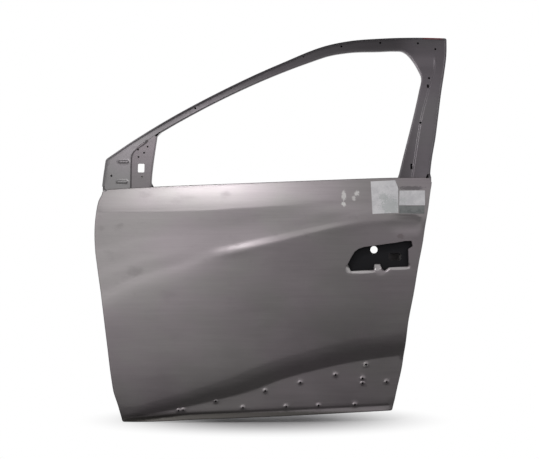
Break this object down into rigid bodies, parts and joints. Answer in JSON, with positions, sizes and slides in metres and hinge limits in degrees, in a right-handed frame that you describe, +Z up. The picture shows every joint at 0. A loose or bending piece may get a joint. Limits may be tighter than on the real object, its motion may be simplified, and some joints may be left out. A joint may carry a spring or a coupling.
{
  "type": "car door shell",
  "caption": "Bare stamped steel front left car door: hemmed outer skin, pierced inner panel, window frame and the reinforcements inside.",
  "frame": {"origin": "centre of the upper hinge mounting face, on the outer side of the inner panel's front wall", "axes": "+X rearwards along the car, +Y inboard, +Z up; the door's outer side faces -Y"},
  "size_m": [1.1439, 0.2332, 1.2464],
  "materials": {
    "skin_steel": "bare rolled sheet steel, satin",
    "panel_steel": "bare pressed sheet steel, satin",
    "brace_steel": "bare pressed sheet steel, dull",
    "beam_steel": "dark tube steel, dull",
    "nut_steel": "zinc plated",
    "mastic": "matt",
    "paper": "matt, blank",
    "film": "thin clear film over steel, blank"
  },
  "bodies": {
    "root": {"outer_skin": "skin_steel", "inner_panel": "panel_steel", "window_frame_outer": "panel_steel", "mirror_reinforcement": "brace_steel", "belt_outer_reinforcement": "brace_steel", "belt_inner_reinforcement": "brace_steel", "impact_beam": "beam_steel", "beam_bracket_front": "brace_steel", "beam_bracket_rear": "brace_steel", "hinge_reinforcement_upper": "brace_steel", "hinge_reinforcement_lower": "brace_steel", "hinge_nut_plate_upper": "nut_steel", "hinge_nut_plate_lower": "nut_steel", "check_strap_reinforcement": "brace_steel", "latch_reinforcement": "brace_steel", "handle_reinforcement": "brace_steel", "glass_channel_front": "brace_steel", "glass_channel_rear": "brace_steel", "channel_bracket_front": "brace_steel", "channel_bracket_rear": "brace_steel", "mirror_weld_nut_1": "nut_steel", "mirror_weld_nut_2": "nut_steel", "mirror_weld_nut_3": "nut_steel", "mastic_pad_1": "mastic", "mastic_pad_2": "mastic", "mastic_pad_3": "mastic", "label_large": "paper", "label_small": "paper", "label_film": "film"}
  },
  "joints": []
}
